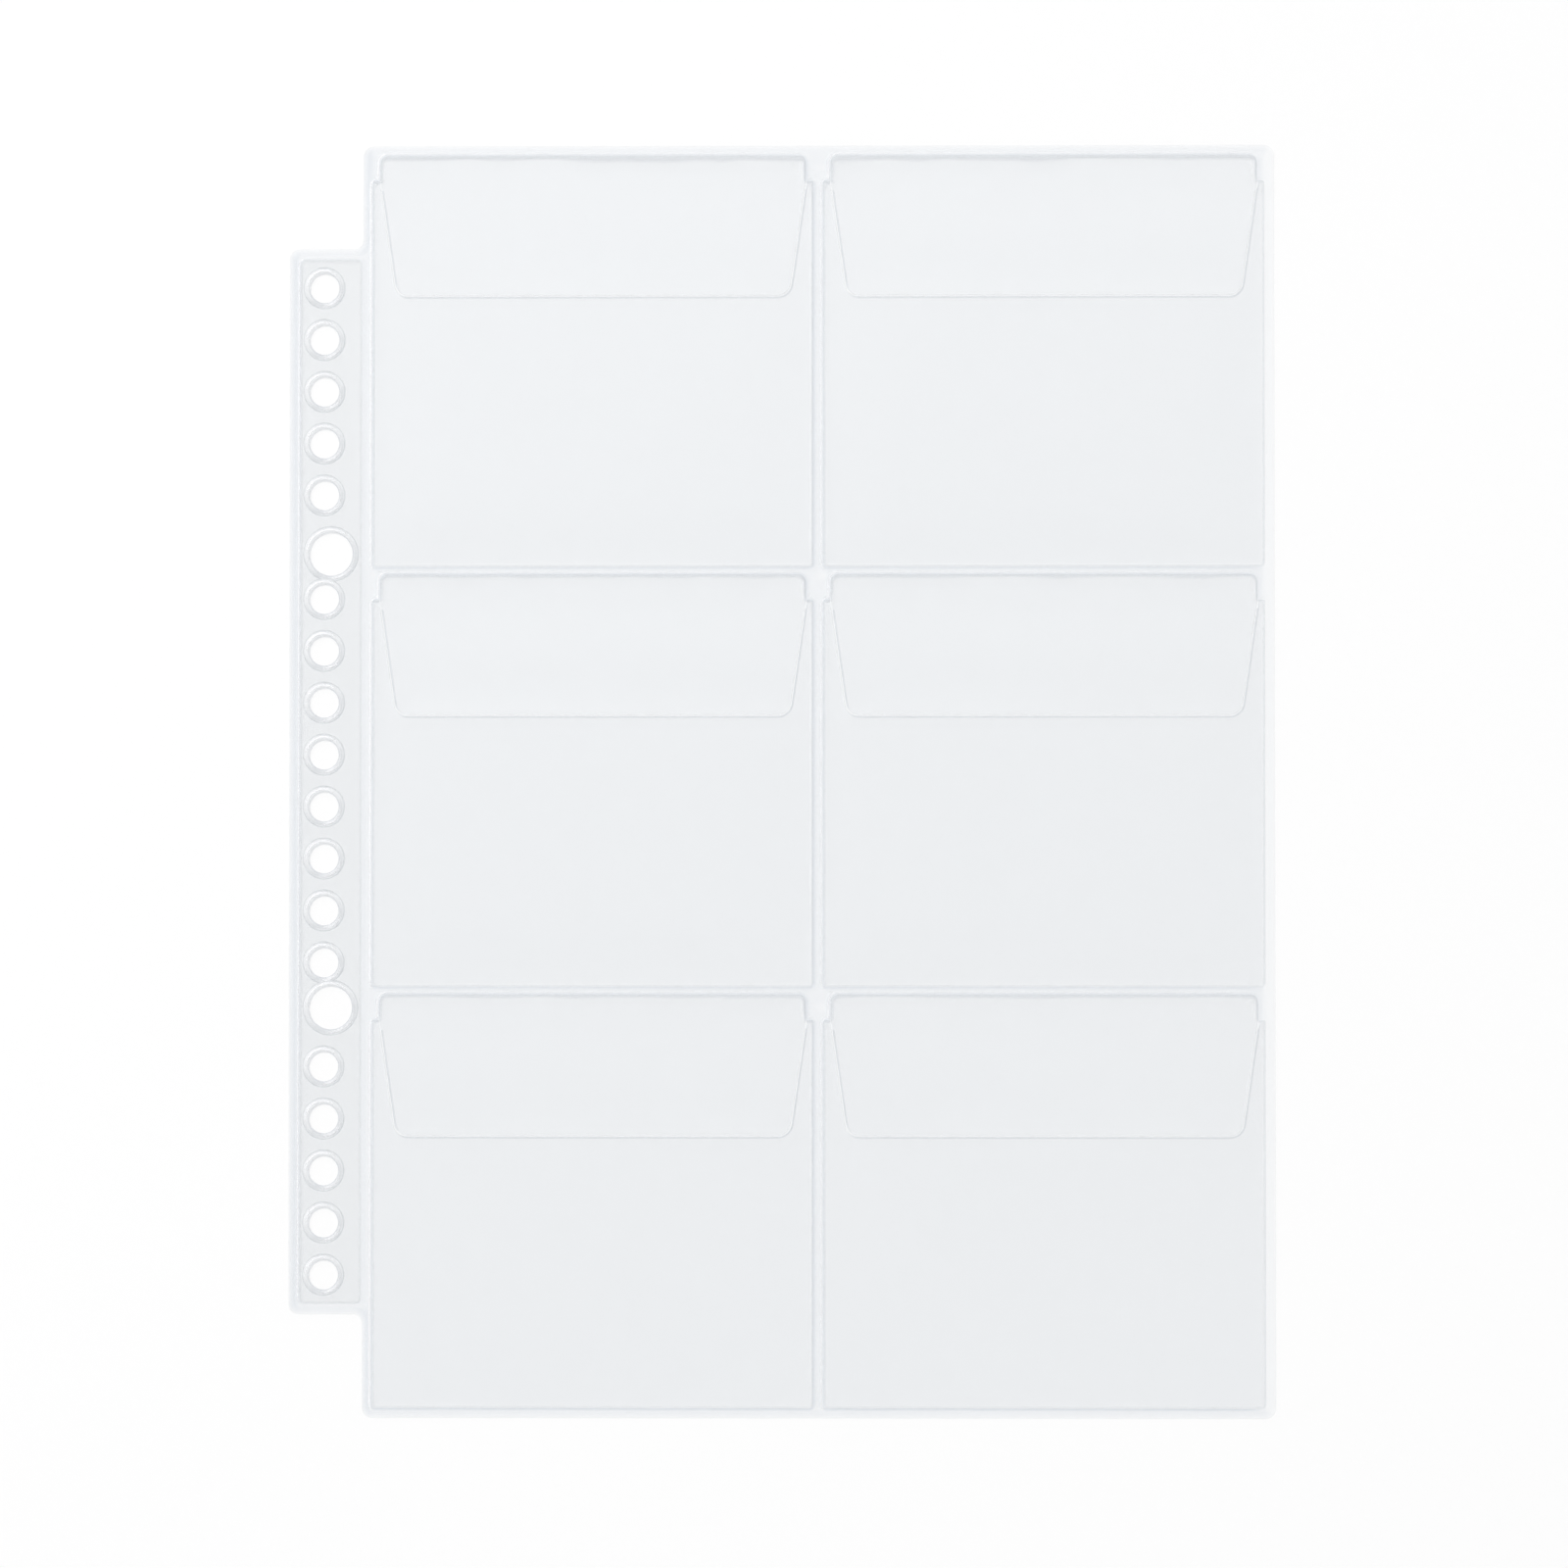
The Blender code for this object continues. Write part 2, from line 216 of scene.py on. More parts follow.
def around(circles):
    """The outline of one circle, or of two that run into each other."""
    if len(circles) == 1:
        return circle(*circles[0])
    outline = []
    for (middle, radius), (other, other_radius) in (circles, circles[::-1]):
        line = other - middle
        share = (line.length_squared + radius**2 - other_radius**2) / (2 * line.length * radius)
        half = math.acos(share)
        start = math.atan2(line.y, line.x) + half
        outline += arc(middle, radius, start, 2 * (math.pi - half), HOLE_STEPS)[:-1]
    return outline


def spaced(line, closed=True):
    """The line's points, with others between them where they lie further apart than a run."""
    points = []
    ends = line[1:] + line[:1] if closed else line[1:]
    for here, there in zip(line, ends):
        parts = max(1, math.ceil((there - here).length / RUN))
        points += [here.lerp(there, part / parts) for part in range(parts)]
    return np.array(points if closed else [*points, line[-1]])


def offsets(points, line, closed=True):
    """The way to each point from the nearest place on a line of straight runs."""
    start = line if closed else line[:-1]
    run = (np.roll(line, -1, axis=0) if closed else line[1:]) - start
    length = np.maximum((run * run).sum(1), NO_LENGTH**2)
    found = []
    for some in np.array_split(points, max(1, len(points) // BATCH)):
        away = some[:, None] - start
        share = np.clip((away * run).sum(2) / length, 0, 1)
        away -= share[..., None] * run
        found.append(away[np.arange(len(some)), (away * away).sum(2).argmin(1)])
    return np.concatenate(found)


def distance(points, line, closed=True):
    return np.linalg.norm(offsets(points, line, closed), axis=1)


def nearest_offsets(points, lines):
    ways = np.array([offsets(points, line) for line in lines])
    return ways[np.linalg.norm(ways, axis=2).argmin(0), np.arange(len(points))]


def nearest(points, lines):
    return np.linalg.norm(nearest_offsets(points, lines), axis=1)


def split(ways):
    """The lengths and the directions of offsets."""
    lengths = np.linalg.norm(ways, axis=1)
    return lengths, ways / np.maximum(lengths, NO_LENGTH)[:, None]


def inside(points, outline):
    """True for each point that a closed outline goes round."""
    x, y = points[:, :1], points[:, 1:]
    ax, ay = outline.T
    bx, by = np.roll(outline, -1, axis=0).T
    rise = np.where(by == ay, 1, by - ay)
    crossed = ((ay > y) != (by > y)) & (x < (bx - ax) * (y - ay) / rise + ax)
    return crossed.sum(1) % 2 == 1


def beside(outline, depth):
    """An outline's points moved to its inner side, or out of it where depth is below zero."""
    ahead = np.roll(outline, -1, axis=0) - outline
    ahead /= np.linalg.norm(ahead, axis=1)[:, None]
    back = np.roll(ahead, 1, axis=0)
    (x, y), (next_x, next_y) = outline.T, np.roll(outline, -1, axis=0).T
    turn = np.sum(x * next_y - y * next_x)
    normal = (ahead + back)[:, ::-1] * np.array((-1, 1)) * np.sign(turn)
    normal /= np.maximum((normal * normal).sum(1), BLUNT)[:, None] / 2
    return outline + normal * depth


# Sheets


def rim_rows(outlines, depths):
    """Rows of points beside each outline, broken where they come nearer to another stretch of it."""
    rows = []
    for place, outline in enumerate(outlines):
        for depth in depths:
            row = beside(outline, -depth if place else depth)
            kept = nearest(row, outlines) > ROW_CLEAR * depth
            first = np.argmin(kept)
            row, kept = np.roll(row, -first, axis=0), np.roll(kept, -first)
            if kept.all():
                rows.append(np.concatenate([row, row[:1]]))
                continue
            breaks = np.flatnonzero(np.diff(kept)) + 1
            rows += [run for run, good in zip(np.split(row, breaks), np.split(kept, breaks)) if good[0]]
    return rows


def grid_points(outlines, step, clear):
    """An even grid inside the first outline, clear of all outlines."""
    low, high = outlines[0].min(0), outlines[0].max(0)
    counts = np.ceil((high - low) / step).astype(int) + 1
    xs, ys = (np.linspace(a, b, n) for a, b, n in zip(low, high, counts))
    grid = np.stack(np.meshgrid(xs, ys), axis=-1).reshape(-1, 2)
    return grid[nearest(grid, outlines) > clear]


def flat_mesh(outlines, rows, loose):
    """Points and triangles inside the first outline and outside the others, with edges along the rows."""
    points, edges = [], []
    for line in [*(np.concatenate([outline, outline[:1]]) for outline in outlines), *rows]:
        first = len(points)
        points += list(line)
        edges += [(step, step + 1) for step in range(first, len(points) - 1)]
    points += list(loose)
    flat = [Vector(point / MM) for point in points]
    made = geometry.delaunay_2d_cdt(flat, edges, [], 0, SAME_POINT / MM)
    points, faces = np.array(made[0]) * MM, np.array(made[2])
    middles = points[faces].mean(1)
    kept = inside(middles, outlines[0])
    for hole in outlines[1:]:
        kept &= ~inside(middles, hole)
    sides = points[faces] - points[np.roll(faces, 1, axis=1)]
    areas = np.abs(sides[:, 0, 0] * sides[:, 1, 1] - sides[:, 0, 1] * sides[:, 1, 0])
    kept &= areas > SLIVER * np.linalg.norm(sides, axis=2).max(1)
    faces = faces[kept]
    used, faces = np.unique(faces, return_inverse=True)
    return points[used], faces.reshape(-1, 3)


def sheet(name, points, faces, low, high, material, **values):
    """A closed sheet over a flat mesh, between two heights, with values for its material at each point."""
    count = len(points)
    runs = np.concatenate([faces[:, (0, 1)], faces[:, (1, 2)], faces[:, (2, 0)]])
    paired = set(map(tuple, runs))
    open_runs = [(a, b) for a, b in paired if (b, a) not in paired]
    sides = [(b, a, a + count, b + count) for a, b in sorted(open_runs)]
    upper = np.column_stack([points, np.broadcast_to(high, count)])
    lower = np.column_stack([points, np.broadcast_to(low, count)])
    mesh = bpy.data.meshes.new(name)
    all_faces = faces.tolist() + (faces[:, ::-1] + count).tolist() + sides
    mesh.from_pydata(np.concatenate([upper, lower]).tolist(), [], all_faces)
    for key, value in values.items():
        attribute = mesh.attributes.new(key, "FLOAT", "POINT")
        both = np.tile(np.broadcast_to(value, count), 2).astype(np.float32)
        attribute.data.foreach_set("value", both)
    mesh.materials.append(material)
    mesh.shade_smooth()
    mesh.set_sharp_from_angle(angle=SHARP_ANGLE)
    piece = bpy.data.objects.new(name, mesh)
    bpy.context.scene.collection.objects.link(piece)
    return piece


def smooth(value):
    value = np.clip(value, 0, 1)
    return value * value * (3 - 2 * value)


def waves(points, length, seed):
    """Soft noise from -1 to 1 over the points."""
    return np.array([noise.noise(Vector((x / length, y / length, seed))) for x, y in points])


def lamp_side_pulled(inward):
    """How far the weld has pulled out the film beside it: all the way over a pocket and left of it, the
    side towards the lamp. It also sets which painted shade and highlight lines lie there.
    """
    return np.clip(PULL_BASE + inward @ PULL_WAY, 0, 1)


def edge_rounding(gap):
    """How much a sheet draws in at each face beside a cut edge."""
    return EDGE_ROUND * (1 - smooth(gap / (2 * EDGE_ROUND)))


# The pockets and flaps


def pocket(row, side):
    """The lines that a pocket lies between."""
    low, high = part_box(f"pocket_front_{row}_{side}")
    root_low, root_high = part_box(f"flap_root_{row}_{side}")
    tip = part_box(f"flap_{row}_{side}")[0].y
    return SimpleNamespace(
        name=f"{row}_{side}",
        row=ROWS.index(row),
        seed=ROWS.index(row) * len(COLUMNS) + COLUMNS.index(side),
        left=low.x,
        right=high.x,
        foot=low.y,
        shoulder=high.y,
        neck_left=root_low.x,
        neck_right=root_high.x,
        top=root_high.y,
        tip=tip,
    )


def window(place):
    """The edge of the weld round a pocket: the pocket itself and the narrower neck over it."""
    return rounded(
        [
            (place.left, place.foot, POCKET_CORNER),
            (place.right, place.foot, POCKET_CORNER),
            (place.right, place.shoulder, SHOULDER_ROUND),
            (place.neck_right, place.shoulder, SHOULDER_ROUND),
            (place.neck_right, place.top, NECK_CORNER),
            (place.neck_left, place.top, NECK_CORNER),
            (place.neck_left, place.shoulder, SHOULDER_ROUND),
            (place.left, place.shoulder, SHOULDER_ROUND),
        ]
    )


def tongue(place, grow):
    """The cut round a flap, from one shoulder down and up to the other."""
    left, right = place.neck_left - grow, place.neck_right + grow
    return [
        (left, place.shoulder, 0),
        (left + FLAP_TAPER, place.tip - grow, FLAP_CORNER + grow),
        (right - FLAP_TAPER, place.tip - grow, FLAP_CORNER + grow),
        (right, place.shoulder, 0),
    ]


def front_outline(place):
    sides = [
        (place.right, place.shoulder, SHOULDER_ROUND),
        (place.right, place.foot, POCKET_CORNER),
        (place.left, place.foot, POCKET_CORNER),
        (place.left, place.shoulder, SHOULDER_ROUND),
    ]
    return rounded(tongue(place, MOUTH_GAP) + sides)


def fold_lines(middle):
    return [middle + FOLD_HALF * step / FOLD_STEPS for step in range(-FOLD_STEPS, FOLD_STEPS + 1)]


def flap_outline(place):
    """The tongue and the neck over it, with points close together across the fold."""
    lower = tongue(place, 0)
    slope = FLAP_TAPER / (place.shoulder - place.tip)
    rows = fold_lines(place.shoulder)
    draw_in = [slope * max(0, place.shoulder - y) for y in rows]
    left = [(place.neck_left + inward, y, 0) for inward, y in zip(draw_in, rows)]
    right = [(place.neck_right - inward, y, 0) for inward, y in zip(draw_in, rows)]
    corners = [
        *lower[1:-1],
        *right,
        (place.neck_right, place.top, NECK_CORNER),
        (place.neck_left, place.top, NECK_CORNER),
        *reversed(left),
    ]
    return rounded(corners)


def lift(place, points, gap):
    """How far the slack film stands up from flat, nothing along the welds and the fold."""
    free = smooth(gap / BULGE_REACH) * smooth((place.shoulder - points[:, 1]) / BULGE_REACH)
    return free * (BULGE + RIPPLE * waves(points, RIPPLE_LENGTH, place.seed))


def outer_ease(points, least):
    """A share that weakens the lines along the outer edge."""
    return 1 - (1 - least) * smooth((points[:, 0] - page_high.x + 2 * OUTER_BAND) / OUTER_BAND)


def soft_film(name, place, outline, cut, material, fold_rows=(), curl=0.0):
    """A film over a pocket: it rises from the weld in a bead, bulges a little and ends at the cut."""
    weld = spaced(window(place))
    cut = spaced(rounded(cut), closed=False)
    outlines = [spaced(outline)]
    rows = rim_rows(outlines, RIM_DEPTHS)
    for y in fold_rows:
        xs = np.arange(place.neck_left + RUN, place.neck_right - RUN / 2, RUN)
        rows.append(np.column_stack([xs, np.full(len(xs), y)]))
    points, faces = flat_mesh(outlines, rows, grid_points(outlines, GRID, RIM_DEPTHS[-1] * GRID_CLEAR))
    gap, inward = split(offsets(points, weld))
    lamp_side_pull = lamp_side_pulled(inward)
    wave = 1 + lamp_side_pull * STRETCH_WAVE * waves(points, STRETCH_WAVE_LENGTH, place.seed + STRETCH_SEED)
    neck = smooth((points[:, 1] - place.shoulder) / MM) * np.abs(inward[:, 0])
    wider = wave * (1 + TOP_WIDER[place.row] * np.maximum(-inward[:, 1], 0) + NECK_WIDER * neck)
    cut_gap, cut_way = split(offsets(points, cut, closed=False))
    ridge = np.interp(gap / (1 + lamp_side_pull * STRETCH) / wave, RIDGE_GAPS, RIDGE_HEIGHTS)
    ridge -= FOOT_FLATTER * np.maximum(inward[:, 1], 0) * np.maximum(ridge - RIDGE_HEIGHTS[-1], 0)
    top = WELD_TOP + ridge + lift(place, points, gap)
    free = smooth((place.shoulder - points[:, 1]) / BULGE_REACH)
    ripple = 1 + waves(points, RIPPLE_LENGTH, place.seed + CURL_SEED)
    top += curl * ripple * free * (1 - smooth(cut_gap / CURL_REACH))
    low = np.maximum(WELD_TOP + SKIN, top - FILM)
    thin = np.minimum(edge_rounding(cut_gap), (top - low) * EDGE_SHARE)
    # The painted shade and highlight lines change strength with the side of the pocket that they lie on
    painted_line_level = 1 + TOP_LINE_LEVEL * np.maximum(-inward[:, 1], 0) + SIDE_LINE_LEVEL * np.maximum(inward[:, 0], 0)
    painted_line_level += FOOT_LINE_LEVEL * np.maximum(inward[:, 1], 0) + NECK_LINE_LEVEL * neck
    values = {
        "weld_gap": gap / wider / MM,
        "lamp_side_pull": lamp_side_pull,
        "painted_line_level": painted_line_level * outer_ease(points, OUTER_LINE_LEVEL),
        "cut_gap": np.where(points[:, 1] > place.shoulder - FOLD_HALF, FAR, cut_gap) / MM,
        # a cut's painted shadow lies on its shaded side, its painted highlight on the other
        "cut_shading_share": np.clip(cut_way @ CUT_WAY, 0, 1),
        "tint": 1.0,
    }
    return sheet(name, points, faces, low + thin, top - thin, material, **values)


def build_pockets(material):
    for row in ROWS:
        for side in COLUMNS:
            place = pocket(row, side)
            cut = tongue(place, MOUTH_GAP)
            film = soft_film(f"pocket_film_{place.name}", place, front_outline(place), cut, material)
            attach(film, "page")
            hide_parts(f"pocket_front_{place.name}")

            cut, rows = tongue(place, 0), fold_lines(place.shoulder)
            name, outline = f"flap_film_{place.name}", flap_outline(place)
            flap = soft_film(name, place, outline, cut, material, rows, CURL)
            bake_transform(flap)
            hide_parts(f"flap_root_{place.name}", f"flap_{place.name}")


# The back film, the fused seams and the strip


def outer_outline():
    left, right, top = strip_low.x, page_high.x, page_high.y
    strip_top = strip_high.y
    return rounded(
        [
            (left, -strip_top, PAGE_CORNER),
            (FOLD_X, -strip_top, STRIP_FILLET),
            (FOLD_X, -top, PAGE_CORNER),
            (right, -top, PAGE_CORNER),
            (right, top, PAGE_CORNER),
            (FOLD_X, top, PAGE_CORNER),
            (FOLD_X, strip_top, STRIP_FILLET),
            (left, strip_top, PAGE_CORNER),
        ]
    )


def strip_window():
    low, high = strip_front_low, strip_front_high
    xs, ys = (low.x, high.x, high.x, low.x), (low.y, low.y, high.y, high.y)
    return rounded([(x, y, STRIP_CORNER) for x, y in zip(xs, ys)])


def holes():
    """Ring node to the (middle, radius) of each hole in it. An opening's box lies inside its hole."""
    openings = {opening["name"]: opening for opening in frame["record"]["physics"]["openings"]}
    found = {}
    for ring in (name for name in frame["nodes"] if name.startswith("hole_ring_")):
        places = ring.removeprefix("hole_ring_").split("_")
        found[ring] = []
        for place in places:
            low, high = (Vector(end[:2]) for end in openings[f"ring_hole_{place}"]["box_m"])
            large = high.x - low.x > 2 * HOLE_RADIUS * math.cos(math.pi / 4)
            found[ring].append(((low + high) / 2, LARGE_HOLE_RADIUS if large else HOLE_RADIUS))
    return found


def grown(circles, land):
    return around([(middle, radius + land) for middle, radius in circles])


def fold_columns():
    """Rows of points close together beside the fold, where the strip bends."""
    xs = [FOLD_X - 2 * FOLD_HALF * step / FOLD_STEPS for step in range(FOLD_STEPS + 1)]
    ys = np.arange(strip_low.y + 2 * RUN, strip_high.y - RUN, 2 * RUN)
    return [np.column_stack([np.full(len(ys), x), ys]) for x in xs]


def bend_at_strip(piece):
    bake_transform(piece)


def build_back_film(material):
    outlines = [spaced(outer_outline())]
    for circles in holes().values():
        for middle, radius in circles:
            outlines.append(np.array(circle(middle + HOLE_SHADOW_SHIFT, radius - HOLE_SHADOW_DRAW)))
    rows = rim_rows(outlines, BACK_GAPS[1:]) + fold_columns()
    points, faces = flat_mesh(outlines, rows, grid_points(outlines, 2 * GRID, RUN))
    rim_gap = distance(points, outlines[0])
    hole_gap, outward = split(nearest_offsets(points, outlines[1:]))
    draw = edge_rounding(np.minimum(rim_gap, hole_gap))
    tint = np.interp(rim_gap, BACK_GAPS, BACK_TINTS)
    # A painted shadow line inside each hole, on its side towards the lamp, where the films' shadow falls
    # into it
    painted_line_level = np.clip(outward @ LIGHT_WAY, 0, 1)
    values = {"weld_gap": FAR / MM, "cut_gap": hole_gap / MM, "cut_shading_share": painted_line_level, "tint": tint}
    film = sheet("back_film", points, faces, draw, FILM - draw, material, **values)
    bend_at_strip(film)
    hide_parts("page_back_film", "strip_back_film")


def build_seams(material):
    """The welded lattice, from the page's edge to the pockets and round the strip."""
    windows = [window(pocket(row, side)) for row in ROWS for side in COLUMNS] + [strip_window()]
    windows = [spaced(line) for line in windows]
    outlines = [spaced(outer_outline()), *(beside(line, SEAM_LAP) for line in windows)]
    rows = rim_rows(outlines, SEAM_DEPTHS) + fold_columns()
    points, faces = flat_mesh(outlines, rows, grid_points(outlines, GRID, SEAM_DEPTHS[-1]))
    away, outward = split(nearest_offsets(points, outlines[1:]))
    gap = away - SEAM_LAP
    # The seams' painted highlight line lies on the side towards the lamp
    lamp_side_pull = np.clip(-outward @ SEAM_PULL_WAY, 0, 1)
    beside_strip = distance(points, outlines[-1]) < away + SKIN
    rim_gap, inward = split(offsets(points, outlines[0]))
    draw = edge_rounding(rim_gap / 2)
    strip_line_level = np.where(beside_strip, STRIP_LINE_LEVEL + (1 - STRIP_LINE_LEVEL) * lamp_side_pull, 1)
    foot_line_level = np.where(points[:, 1] < pocket("bottom", "left").foot, FOOT_SEAM_LINE_LEVEL, 1)
    in_centre = np.abs(points[:, 0] - (weld_low.x + weld_high.x) / 2) < (weld_high.x - weld_low.x) / 2
    border = np.interp(rim_gap, BORDER_GAPS, BORDER_TINTS) * (BORDER_BASE + inward @ BORDER_WAY)
    middle = WELD_TINT * (1 - WIDE_PALER * smooth((gap - WIDE_START) / WIDE_FADE))
    tint = middle + (border - middle) * (1 - smooth((rim_gap - BORDER_WIDTH) / BORDER_FADE))
    tint = np.where(gap < -SKIN, LAP_TINT, tint)
    values = {
        "weld_gap": gap * np.where(beside_strip, STRIP_SHARPER, 1) / MM,
        "lamp_side_pull": lamp_side_pull,
        "painted_line_level": strip_line_level * outer_ease(points, OUTER_SEAM_LINE_LEVEL) * foot_line_level,
        "cut_gap": np.where(in_centre, np.abs(gap - CREASE_GAP), FAR) / MM,
        "cut_shading_share": lamp_side_pull,
        "tint": tint,
    }
    seams = sheet("fused_seams", points, faces, weld_low.z + draw, WELD_TOP - draw, material, **values)
    bend_at_strip(seams)
    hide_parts(*(name for name in frame["nodes"] if name.endswith("_seam") or "_seam_" in name))


def build_strip_film(material):
    outlines = [spaced(strip_window())]
    outlines += [np.array(grown(circles, RING_LAND)) for circles in holes().values()]
    rows = rim_rows(outlines, RIM_DEPTHS)
    points, faces = flat_mesh(outlines, rows, grid_points(outlines, GRID, RIM_DEPTHS[-1]))
    inward = split(nearest_offsets(points, outlines))[1]
    lamp_side_pull = lamp_side_pulled(inward)
    border_gap = distance(points, outlines[0])
    ring_gap = nearest(points, outlines[1:])
    gap = np.minimum(border_gap, RING_SHARPER * ring_gap)
    ridge = np.interp(border_gap, RIDGE_GAPS, RIDGE_HEIGHTS)
    rise = np.interp(ring_gap, RISE_GAPS, RISE_HEIGHTS)
    top = WELD_TOP + np.minimum(ridge, rise)
    low = np.maximum(WELD_TOP + SKIN, top - FILM)
    painted_line_level = 1 - STRIP_EASE * smooth(inward @ LIGHT_WAY)
    painted_line_level *= np.where(ring_gap < border_gap, RING_LINE_LEVEL, 1)
    values = {"weld_gap": gap / MM, "lamp_side_pull": lamp_side_pull, "painted_line_level": painted_line_level, "cut_gap": FAR / MM, "tint": 1.0}
    film = sheet("strip_film", points, faces, low, top, material, **values)
    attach(film, "binding_strip")
    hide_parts("strip_front_film")


def build_rings(material):
    """A low round lip about each hole, and one about each pair that touches."""
    for ring, circles in holes().items():
        outlines = [np.array(grown(circles, RING_LAND + RING_LAP))]
        outlines += [np.array(circle(middle, radius - LIP_DRAW)) for middle, radius in circles]
        rows = rim_rows(outlines, [depth for depth in RIM_DEPTHS if depth < RING_LAND])
        points, faces = flat_mesh(outlines, rows, [])
        gap, outward = split(nearest_offsets(points, outlines[1:]))
        draw = edge_rounding(gap)
        top = WELD_TOP + np.interp(gap, LIP_GAPS, LIP_HEIGHTS) - draw
        painted_line_level = 1 - RING_EASE * smooth(outward @ LIGHT_WAY)
        # A ring's light and shade are painted by its turn round the hole, for the lamp at the upper left:
        # painted shade in the tint, a painted highlight in the arc
        turn = np.degrees(np.arctan2(outward[:, 1], outward[:, 0]))
        tables = (RING_SHADES, RING_EDGE_SHADES, RING_HIGHLIGHTS)
        shade, edge_shade, highlight_level = (np.interp(turn, RING_TURNS, table, period=360) for table in tables)
        values = {
            "weld_gap": np.abs(gap - RING_HIGHLIGHT_GAP) / MM,
            "painted_line_level": highlight_level,
            "cut_gap": gap / MM,
            "cut_shading_share": painted_line_level,
            "tint": shade + (edge_shade - shade) * smooth((gap - RING_FADE_START) / RING_FADE),
        }
        name = ring.replace("hole_ring", "ring_lip")
        lip = sheet(name, points, faces, weld_low.z + draw, top, material, **values)
        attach(lip, "binding_strip")
        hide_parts(ring)


# Materials


def add(tree, kind, inputs=None, **settings):
    """A new node, with its settings, and with its inputs set or linked."""
    made = tree.nodes.new(kind)
    for name, value in settings.items():
        setattr(made, name, value)
    for name, value in (inputs or {}).items():
        if isinstance(value, bpy.types.NodeSocket):
            tree.links.new(value, made.inputs[name])
        else:
            made.inputs[name].default_value = value
    return made


def maths(tree, operation, first, second=0.0, clamp=False):
    made = add(tree, "ShaderNodeMath", {0: first, 1: second}, operation=operation, use_clamp=clamp)
    return made.outputs[0]


def spread(tree, value, low, high, to_low=0.0, to_high=1.0):
    inputs = {"Value": value, "From Min": low, "From Max": high, "To Min": to_low, "To Max": to_high}
    return add(tree, "ShaderNodeMapRange", inputs).outputs["Result"]


def curve(tree, gap, stops):
    """A level that follows a gap in millimetres through (gap, level) stops, and keeps the last one."""
    made = add(tree, "ShaderNodeValToRGB", {"Fac": maths(tree, "DIVIDE", gap, LINE_REACH)})
    ramp = made.color_ramp
    ramp.elements.remove(ramp.elements[-1])
    while len(ramp.elements) < len(stops):
        ramp.elements.new(1.0)
    for element, (place, level) in zip(ramp.elements, stops):
        element.position = place / LINE_REACH
        element.color = (level, level, level, 1)
    return made.outputs["Color"]


def named(tree, name):
    return add(tree, "ShaderNodeAttribute", attribute_name=name).outputs["Fac"]


def clouds(tree, scale, detail=2.0):
    place = add(tree, "ShaderNodeTexCoord").outputs["Object"]
    inputs = {"Vector": place, "Scale": scale, "Detail": detail}
    return add(tree, "ShaderNodeTexNoise", inputs).outputs["Fac"]


LINE_REACH = 1.5  # millimetres from an edge that the line curves cover
WOBBLE = 0.08  # millimetres that the lines wander
WOBBLE_SCALE = 160
SCHLICK_POWER = 5.0
PEEL_SCALE = 420  # fine unevenness of the surface
PEEL_DETAIL = 3.0
PEEL_STRENGTH = 0.06
PEEL_DEPTH = 0.0002
ROUGH_SCALE = 60
ROUGHNESS = (0.08, 0.16)
MILK_SCALE = 35  # clouds in the haze of the film
MILK_DETAIL = 4.0
MILK_SPREAD = (0.7, 1.3)
NOISE_RANGE = (0.3, 0.7)  # what noise is spread from
BODY = (0.95, 0.96, 0.98, 1)
NO_LINE = ((0, 0.0),)


def line_curves(**curves):
    """Strength of a material's painted shade and highlight lines by millimetres from an edge. What isn't
    named has no line.

    A weld bunches the film up on one side and pulls it out on the other, the side towards the lamp.
    """
    kinds = ("dark_bunched", "dark_pulled", "pale_bunched", "pale_pulled", "cut_dark", "cut_pale")
    return SimpleNamespace(**(dict.fromkeys(kinds, NO_LINE) | curves))


# Dark lines are painted shade and pale ones painted highlights, the pale arcs of the rings too; the cut
# lines paint a cut's shadow and highlight
FILM_LINES = line_curves(
    dark_bunched=((0, 0.8), (0.12, 0.9), (0.24, 0.5), (0.4, 0.0)),
    dark_pulled=((0, 0.7), (0.25, 0.7), (0.34, 0.35), (0.5, 0.0)),
    pale_bunched=((0, 0.0), (0.28, 0.0), (0.46, 0.3), (0.62, 0.15), (0.95, 0.0)),
    cut_dark=((0, 1.0), (0.28, 1.0), (0.36, 0.6), (0.46, 0.0)),
    cut_pale=((0, 0.6), (0.1, 0.5), (0.24, 0.0)),
)
STRIP_LINES = line_curves(
    dark_bunched=((0, 0.3), (0.2, 0.35), (0.36, 0.2), (0.6, 0.0)),
    dark_pulled=((0, 0.35), (0.2, 0.45), (0.55, 0.4), (0.8, 0.2), (1.1, 0.0)),
)
SEAM_LINES = line_curves(
    dark_bunched=((0, 0.0), (0.05, 0.7), (0.2, 0.45), (0.45, 0.1), (0.6, 0.0)),
    dark_pulled=((0, 0.0), (0.05, 0.3), (0.2, 0.4), (0.32, 0.0)),
    pale_pulled=((0, 0.0), (0.22, 0.0), (0.3, 1.0), (0.5, 0.9), (0.75, 0.0)),
    cut_dark=((0, 0.7), (0.06, 0.5), (0.16, 0.0)),
)
BACK_LINES = line_curves(cut_dark=((0, 0.5), (0.1, 0.9), (0.25, 0.7), (0.4, 0.0)))
RING_LINES = line_curves(
    pale_bunched=((0, 1.0), (0.1, 0.9), (0.22, 0.0)),
    cut_dark=((0, 0.6), (0.16, 0.6), (0.32, 0.0)),
)


def by_pull(tree, gap, bunched, drawn, lamp_side_pull):
    ends = {"Factor": lamp_side_pull, "A": curve(tree, gap, bunched), "B": curve(tree, gap, drawn)}
    return add(tree, "ShaderNodeMix", ends).outputs["Result"]


def line_strength(tree, weld, painted_line_level, cut, cut_shading_share):
    weld = maths(tree, "MULTIPLY", weld, painted_line_level)
    return maths(tree, "MAXIMUM", weld, maths(tree, "MULTIPLY", cut, cut_shading_share))


